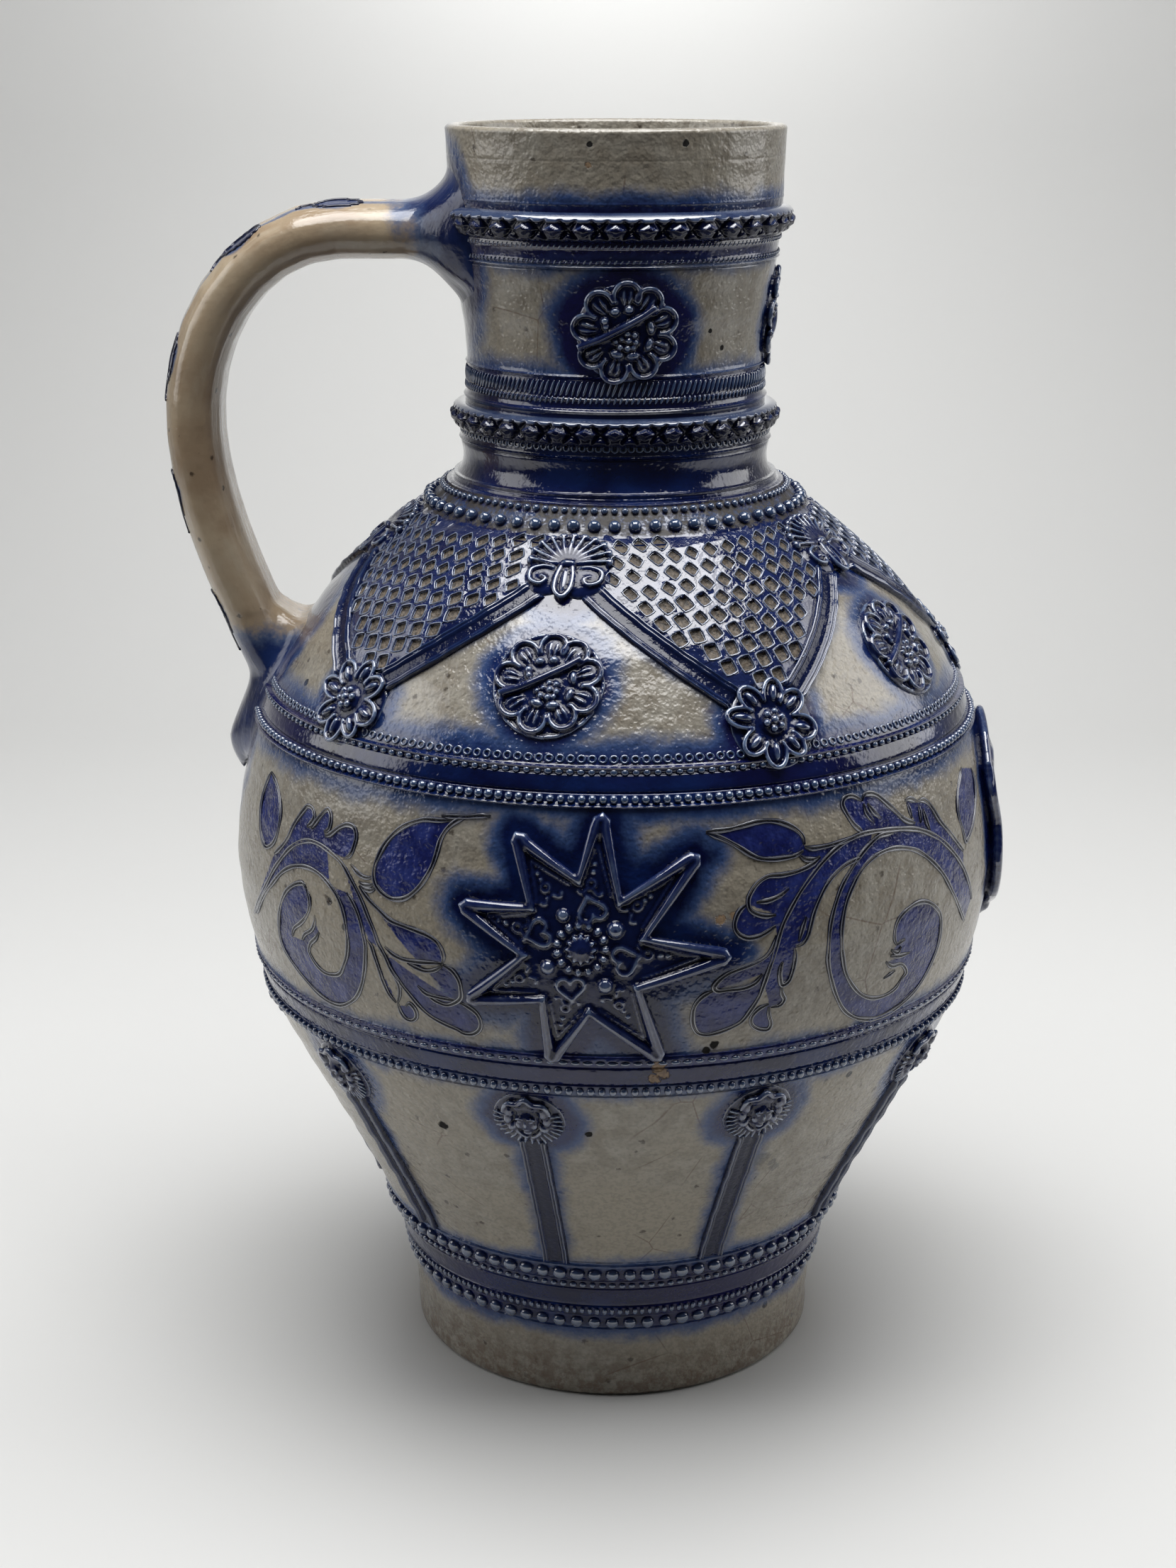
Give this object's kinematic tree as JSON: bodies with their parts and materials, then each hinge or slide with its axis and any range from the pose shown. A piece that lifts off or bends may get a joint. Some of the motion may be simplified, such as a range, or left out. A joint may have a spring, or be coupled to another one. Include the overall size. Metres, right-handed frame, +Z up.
{
  "type": "stoneware pitcher",
  "caption": "Tall round-bellied stoneware jug with a cylindrical neck, a strap handle, and applied moulded reliefs and rings over cobalt and grey salt glaze.",
  "frame": {"origin": "centre of the flat foot underside, on the jug's turning axis", "axes": "+Z up the turning axis to the rim, -X toward the handle, +X the front, -Y the side with the star that the picture shows"},
  "size_m": [0.2228, 0.2092, 0.33],
  "materials": {
    "grey_salt_glaze": "orange-peel salt glaze, satin to glossy, bare grey stoneware",
    "tan_salt_glaze": "glossy salt glaze over tan-grey stoneware, cobalt at both roots",
    "cobalt_salt_glaze": "glossy salt glaze over cobalt blue, purple-blue where thick"
  },
  "bodies": {
    "root": {"vessel": "grey_salt_glaze", "handle": "tan_salt_glaze", "neck_ring_upper": "cobalt_salt_glaze", "neck_ring_lower": "cobalt_salt_glaze", "neck_rosette_1": "cobalt_salt_glaze", "neck_rosette_2": "cobalt_salt_glaze", "neck_rosette_3": "cobalt_salt_glaze", "shoulder_palmette_1": "cobalt_salt_glaze", "shoulder_palmette_2": "cobalt_salt_glaze", "shoulder_palmette_3": "cobalt_salt_glaze", "shoulder_palmette_4": "cobalt_salt_glaze", "shoulder_palmette_5": "cobalt_salt_glaze", "shoulder_flower_1": "cobalt_salt_glaze", "shoulder_flower_2": "cobalt_salt_glaze", "shoulder_flower_3": "cobalt_salt_glaze", "shoulder_flower_4": "cobalt_salt_glaze", "shoulder_flower_5": "cobalt_salt_glaze", "shoulder_fillet_1": "cobalt_salt_glaze", "shoulder_fillet_2": "cobalt_salt_glaze", "shoulder_fillet_3": "cobalt_salt_glaze", "shoulder_fillet_4": "cobalt_salt_glaze", "shoulder_fillet_5": "cobalt_salt_glaze", "shoulder_fillet_6": "cobalt_salt_glaze", "shoulder_fillet_7": "cobalt_salt_glaze", "shoulder_fillet_8": "cobalt_salt_glaze", "shoulder_fillet_9": "cobalt_salt_glaze", "shoulder_fillet_10": "cobalt_salt_glaze", "shoulder_medallion_1": "cobalt_salt_glaze", "shoulder_medallion_2": "cobalt_salt_glaze", "shoulder_medallion_3": "cobalt_salt_glaze", "shoulder_medallion_4": "cobalt_salt_glaze", "shoulder_lattice_1": "cobalt_salt_glaze", "shoulder_lattice_2": "cobalt_salt_glaze", "shoulder_lattice_3": "cobalt_salt_glaze", "shoulder_lattice_4": "cobalt_salt_glaze", "shoulder_lattice_5": "cobalt_salt_glaze", "belly_star_1": "cobalt_salt_glaze", "belly_star_2": "cobalt_salt_glaze", "front_cartouche": "cobalt_salt_glaze", "belly_mask_1": "cobalt_salt_glaze", "belly_mask_2": "cobalt_salt_glaze", "belly_mask_3": "cobalt_salt_glaze", "belly_mask_4": "cobalt_salt_glaze", "belly_mask_5": "cobalt_salt_glaze", "belly_mask_6": "cobalt_salt_glaze", "belly_mask_7": "cobalt_salt_glaze", "belly_mask_8": "cobalt_salt_glaze", "belly_mask_9": "cobalt_salt_glaze", "belly_mask_10": "cobalt_salt_glaze", "belly_rib_1": "cobalt_salt_glaze", "belly_rib_2": "cobalt_salt_glaze", "belly_rib_3": "cobalt_salt_glaze", "belly_rib_4": "cobalt_salt_glaze", "belly_rib_5": "cobalt_salt_glaze", "belly_rib_6": "cobalt_salt_glaze", "belly_rib_7": "cobalt_salt_glaze", "belly_rib_8": "cobalt_salt_glaze", "belly_rib_9": "cobalt_salt_glaze", "belly_rib_10": "cobalt_salt_glaze"}
  },
  "joints": []
}
